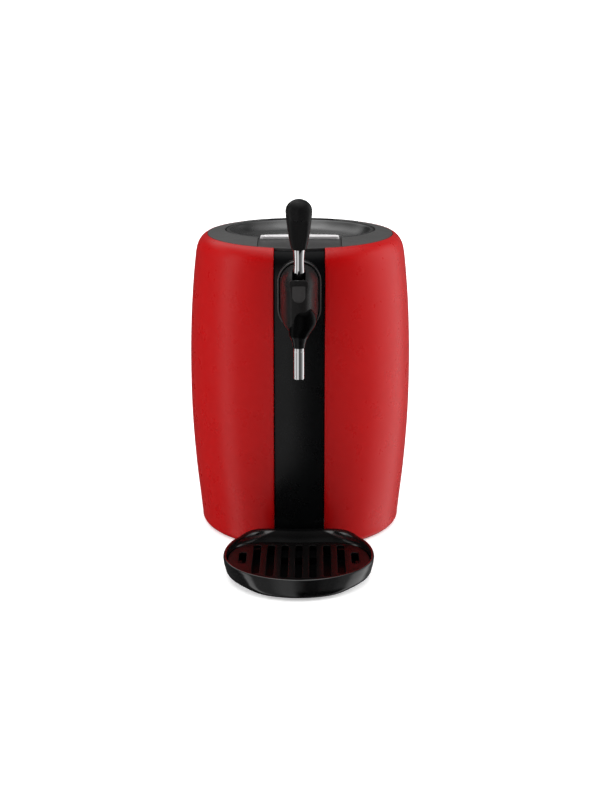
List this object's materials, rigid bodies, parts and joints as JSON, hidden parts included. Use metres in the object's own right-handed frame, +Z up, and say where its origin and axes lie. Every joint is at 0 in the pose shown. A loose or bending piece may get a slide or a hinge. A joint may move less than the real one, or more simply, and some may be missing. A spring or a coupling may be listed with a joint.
{
  "type": "mini keg beer dispenser",
  "caption": "Countertop cooler and tap for a small beer keg: oval barrel body, hinged lid over the keg well, pull lever tap, sliding drip tray with lift-out grille.",
  "frame": {"origin": "on the surface it stands on, under the middle of the plan of the whole object, drip tray included", "axes": "+Z up, -Y forward to the tap and the drip tray, +X to the right of someone facing the tap"},
  "size_m": [0.2768, 0.5024, 0.4358],
  "materials": {
    "shell_red": "semi-gloss moulded plastic in deep red",
    "column_black": "satin black moulded plastic",
    "rear_black": "fine grained black plastic",
    "base_black": "plain moulded black plastic",
    "foot_rubber": "soft black rubber",
    "white_plastic": "natural white moulded plastic",
    "screw_steel": "zinc plated steel",
    "collar_grey": "fine textured dark grey plastic",
    "liner_aluminium": "drawn aluminium, satin",
    "foam_white": "expanded polystyrene foam",
    "cold_aluminium": "milled aluminium",
    "ceramic_white": "white ceramic plates with solder between",
    "sink_aluminium": "extruded aluminium",
    "fan_black": "glass filled black plastic",
    "sensor_brass": "brass probe",
    "bracket_steel": "galvanised sheet steel",
    "board_green": "green circuit board with its parts",
    "pin_brass": "brass blades",
    "rocker_black": "polished black plastic",
    "lid_grey": "satin dark grey plastic with a glossy dish",
    "grip_silver": "bright satin metal strip",
    "lens_dark": "smoked clear lens",
    "liner_plastic": "light grey inner cover",
    "seal_rubber": "soft silicone rubber",
    "bezel_black": "satin black plastic with a brighter rim",
    "tap_black": "polished black plastic",
    "lever_chrome": "polished chrome",
    "handle_black": "polished black moulded handle",
    "spring_steel": "spring wire",
    "tube_clear": "milky silicone tube",
    "nozzle_black": "polished black plastic",
    "spout_chrome": "polished chrome",
    "tray_black": "piano black plastic",
    "grille_black": "gloss black plastic grille"
  },
  "bodies": {
    "housing": {"right_shell": "shell_red", "left_shell": "shell_red", "front_column": "column_black", "rear_panel": "rear_black", "base_plate": "base_black", "rubber_feet": "foot_rubber", "support_pillars": "white_plastic", "pillar_screws": "screw_steel", "shell_screws": "screw_steel", "top_collar": "collar_grey", "keg_well_liner": "liner_aluminium", "insulation_foam": "foam_white", "cold_block": "cold_aluminium", "peltier_module": "ceramic_white", "heat_sink": "sink_aluminium", "fan_frame": "fan_black", "fan_screws": "screw_steel", "temperature_sensor": "sensor_brass", "board_bracket": "bracket_steel", "power_board": "board_green", "board_screws": "screw_steel", "mains_inlet": "base_black", "inlet_pins": "pin_brass", "switch_housing": "base_black", "lid_hinge_pin": "screw_steel", "tap_bezel": "bezel_black", "tap_cover": "tap_black", "tap_chassis": "base_black", "tap_screws": "screw_steel", "lever_pivot_pin": "screw_steel", "beer_tube": "tube_clear", "keg_coupler": "white_plastic", "coupler_seal": "seal_rubber", "tap_nozzle": "nozzle_black", "spout_tube": "spout_chrome"},
    "lid": {"lid_shell": "lid_grey", "lid_grip": "grip_silver", "indicator_lens": "lens_dark", "lid_insulation": "foam_white", "lid_liner": "liner_plastic", "lid_screws": "screw_steel", "lid_seal": "seal_rubber"},
    "lever": {"tap_lever": "lever_chrome", "lever_handle": "handle_black"},
    "plunger": {"pinch_plunger": "white_plastic", "plunger_spring": "spring_steel"},
    "tray": {"drip_tray": "tray_black", "tray_pads": "foot_rubber"},
    "grille": {"drip_grille": "grille_black"},
    "fan": {"fan_rotor": "fan_black"},
    "rocker": {"power_rocker": "rocker_black"}
  },
  "joints": [
    {"name": "lid_hinge", "type": "hinge", "parent": "housing", "child": "lid", "pos_m": [0, 0.19146, 0.364], "axis": [-1, 0, 0], "range_deg": [0, 95]},
    {"name": "tap_lever_pull", "type": "hinge", "parent": "housing", "child": "lever", "pos_m": [0, -0.11754, 0.336], "axis": [1, 0, 0], "range_deg": [0, 35], "stiffness_Nm_per_rad": 0.6, "springref_deg": -8.59},
    {"name": "plunger_lift", "type": "slide", "parent": "housing", "child": "plunger", "axis": [0, 0, 1], "range_m": [0, 0.0031], "deforming": ["plunger_spring"]},
    {"name": "tray_slide", "type": "slide", "parent": "housing", "child": "tray", "axis": [0, -1, 0], "range_m": [0, 0.12]},
    {"name": "grille_lift", "type": "slide", "parent": "tray", "child": "grille", "axis": [0, 0, 1], "range_m": [0, 0.04]},
    {"name": "fan_spin", "type": "hinge", "parent": "housing", "child": "fan", "pos_m": [0, 0.23446, 0.19], "axis": [0, 1, 0], "continuous": true},
    {"name": "power_switch", "type": "hinge", "parent": "housing", "child": "rocker", "pos_m": [-0.02, 0.23506, 0.05], "axis": [1, 0, 0], "range_deg": [0, 14]}
  ],
  "couplings": [
    {"joint": "plunger_lift", "follows": "tap_lever_pull", "m_per_rad": 0.004911}
  ]
}
